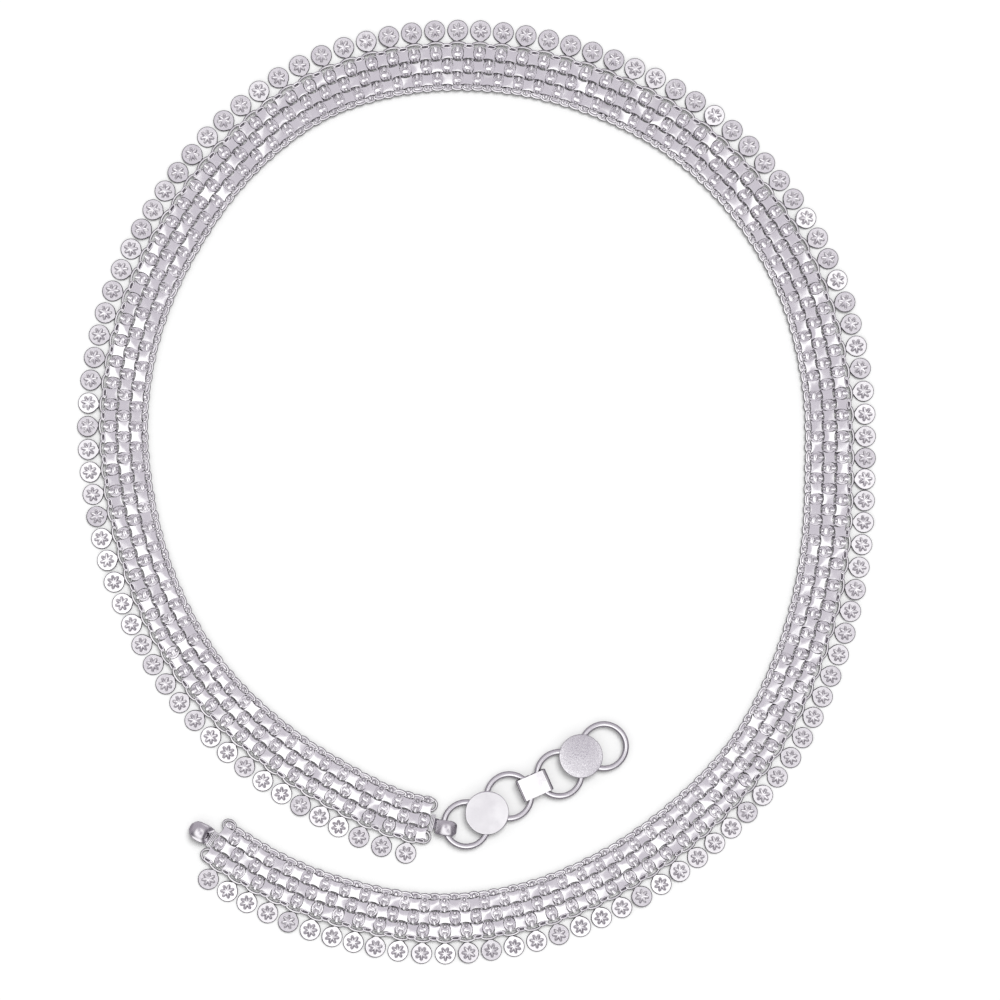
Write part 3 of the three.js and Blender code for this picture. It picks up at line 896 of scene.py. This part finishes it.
# The rolled ends of the link plate, one thicker than the other, across its two folds.
def makeLinkBars():
    first, second = middleOf("ring_2"), middleOf("ring_3")
    way = (second - first).normalized()
    middle = (first + second) / 2
    reach = max((v.co - middle).dot(way) for v in linkSleeve.data.vertices)
    for number, (side, radius) in enumerate(zip((-1, 1), linkBars["radii"]), start=1):
        place = middle + way * side * (reach - linkBars["sunk"] * radius * mm)
        place.z = (linkBars["top"] - radius) * mm
        bpy.ops.mesh.primitive_cylinder_add(
            vertices=linkBars["sides"], radius=radius * mm, depth=2 * linkStrip["plan"][0] * mm,
            location=place,
            rotation=(math.pi / 2 + math.radians(linkStrip["lean"]), 0, math.atan2(way.y, way.x)))
        shadedBar = startEditing(f"linkBar{number}")
        selectWhere("EDGE", lambda e: max(len(f.verts) for f in e.link_faces) > 4)
        bevelBy(linkBars["edge"], 2)
        stopEditing(shadedBar)
        placeInMesh(shadedBar)
        smooth(shadedBar, linkBars["shading"])
        dress(shadedBar, silver["shadedBar"], ["link_plate"])


makeLinkBars()


def makeHook(name, node, plan):
    hook = foldStrip(name, plan["moves"], plan)
    finishStrip(hook, plan)
    turn = math.radians(plan["turn"])
    shift = Vector((math.cos(turn), math.sin(turn), 0)) * plan["shift"] * mm
    settle(hook, middleOf(node) - shift, turn)
    smooth(hook, stripShading["hook"])
    dress(hook, silver["satin"], [node])


makeHook("closedHook", "hook_closed", closedHook)
makeHook("freeHook", "hook_free", freeHook)

# What stands between the hooks and the band: "past" is how far it stands on from the band's end.
hookSlot = {"sides": 24, "halfAlong": 0.5, "halfAcross": 1.05, "height": 0.5,
            "insets": [(0.12, -0.12), (0.1, -0.06)], "past": -1.35, "out": -0.05, "up": 2.4, "turn": -6,
            "dip": 35, "finish": "paintedShadow", "smooth": 30}
hookLip = {"past": 4.7, "out": 0.3, "up": 2.4, "turn": -11, "size": (3.2, 0.7, 1), "finish": "satin",
           "smooth": 40}
hookCollar = {"past": 0.45, "out": 0.1, "up": 1.3, "size": (4.4, 0.6, 1), "finish": "shadedBar", "smooth": 40}


# A place past an end of the band: the same as on the belt, moved on along the end's own line.
def placePastEnd(along, piece):
    onwards = Matrix.Translation((piece["past"] * mm, 0, 0))
    turn = Matrix.Rotation(math.radians(piece.get("turn", 0)), 4, "Z")
    dip = Matrix.Rotation(math.radians(piece.get("dip", 0)), 4, "Y")
    size = Matrix.Diagonal((*piece.get("size", (1, 1, 1)), 1))
    return placeOnBelt(along, piece["out"], piece["up"]) @ onwards @ turn @ dip @ size


# The slot is a dished oval in near-black silver, a painted shadow between the free hook and its collar.
addCopies("hookSlot", blockUnit(hookSlot), [placePastEnd(0, hookSlot)], hookSlot,
          ["hook_free"])
addCopies("hookLip", makeBarUnit(), [placePastEnd(routeLength, hookLip)], hookLip,
          ["hook_closed"])
addCopies("hookCollar", makeBarUnit(), [placePastEnd(routeLength, hookCollar)], hookCollar,
          ["hook_closed"])

# Floor, light and colours. What shines sees a white roof with two grey patches, each with its middle and the
# reach of its inner and outer edge, over walls that are darker at the near side. All else is lit by a plain
# room and a sun.
light = {
    "white": (1.25, 1.24, 1.25), "grey": (0.62, 0.588, 0.642), "wallFar": (0.46, 0.43, 0.475),
    "wallNear": (0.14, 0.125, 0.15), "nearToFar": (-0.4, 0.4),
    "patches": (((-0.01, 0.155, 0), 0.25, 0.29), ((0.315, -0.345, 0), 0.24, 0.27)),
    "roofAxis": (0, -0.34, 0.94), "wallToRoof": (0.6, 0.82),
    "room": 0.78, "sun": 1.9, "sunTurn": (28, 0, 150), "sunSpread": 35,
}
# The floor is evenly pale as seen, but painted dark where the silver reflects it: painted shade of the floor
# near the belt.
floorPlan = {"size": 6, "seen": (0.9, 0.9, 0.9), "reflectedShade": (0.22, 0.2, 0.23)}


def makeFloor():
    bpy.ops.mesh.primitive_plane_add(size=floorPlan["size"], location=(0, 0, 0))
    floor = bpy.context.active_object
    floor.name = "floor"
    material = bpy.data.materials.new("paleFloor")
    material.use_nodes = True
    tree = material.node_tree
    shader = tree.nodes["Principled BSDF"]
    shader.inputs["Roughness"].default_value = 1
    shader.inputs["Specular IOR Level"].default_value = 0
    # painted shade: the floor is darker in reflections
    inReflection = addNode(tree, "LightPath", {}).outputs["Is Glossy Ray"]
    tone = addMix(tree, inReflection, (*floorPlan["seen"], 1), (*floorPlan["reflectedShade"], 1))
    tree.links.new(tone, shader.inputs["Base Color"])
    floor.data.materials.append(material)


def makeTent():
    world = bpy.data.worlds.new("lightTent")
    bpy.context.scene.world = world
    world.use_nodes = True
    tree = world.node_tree
    tree.nodes.clear()
    way = addNode(tree, "TexCoord", {}).outputs["Generated"]
    parts = addNode(tree, "SeparateXYZ", {"Vector": way}).outputs
    level = addNode(tree, "CombineXYZ", {"X": parts["X"], "Y": parts["Y"]}).outputs["Vector"]
    whiteShares = []
    for middle, inner, outer in light["patches"]:
        away = addNode(tree, "VectorMath", {0: level, 1: middle}, operation="DISTANCE")
        whiteShares.append(addStep(tree, away.outputs["Value"], inner, outer))
    bothShares = addNode(tree, "Math", dict(enumerate(whiteShares)), operation="MULTIPLY")
    roof = addMix(tree, bothShares.outputs["Value"], (*light["grey"], 1), (*light["white"], 1))
    upness = addNode(tree, "VectorMath", {0: way, 1: light["roofAxis"]}, operation="DOT_PRODUCT")
    roofShare = addStep(tree, upness.outputs["Value"], *light["wallToRoof"])
    farShare = addStep(tree, parts["Y"], *light["nearToFar"])
    walls = addMix(tree, farShare, (*light["wallNear"], 1), (*light["wallFar"], 1))
    tent = addNode(tree, "Background", {"Color": addMix(tree, roofShare, walls, roof)})
    room = addNode(tree, "Background", {"Strength": light["room"]})
    inReflection = addNode(tree, "LightPath", {}).outputs["Is Glossy Ray"]
    choice = addNode(tree, "MixShader", {
        "Fac": inReflection, 1: room.outputs["Background"], 2: tent.outputs["Background"]})
    addNode(tree, "OutputWorld", {"Surface": choice.outputs["Shader"]})


def makeSun():
    data = bpy.data.lights.new("softSun", "SUN")
    data.energy = light["sun"]
    data.angle = math.radians(light["sunSpread"])
    sun = bpy.data.objects.new("softSun", data)
    sun.rotation_euler = [math.radians(turn) for turn in light["sunTurn"]]
    sun.visible_glossy = False
    bpy.context.scene.collection.objects.link(sun)


makeFloor()
makeTent()
makeSun()
bpy.context.scene.view_settings.view_transform = "Standard"
print("floor and light: pale floor under a white tent with two grey patches overhead")
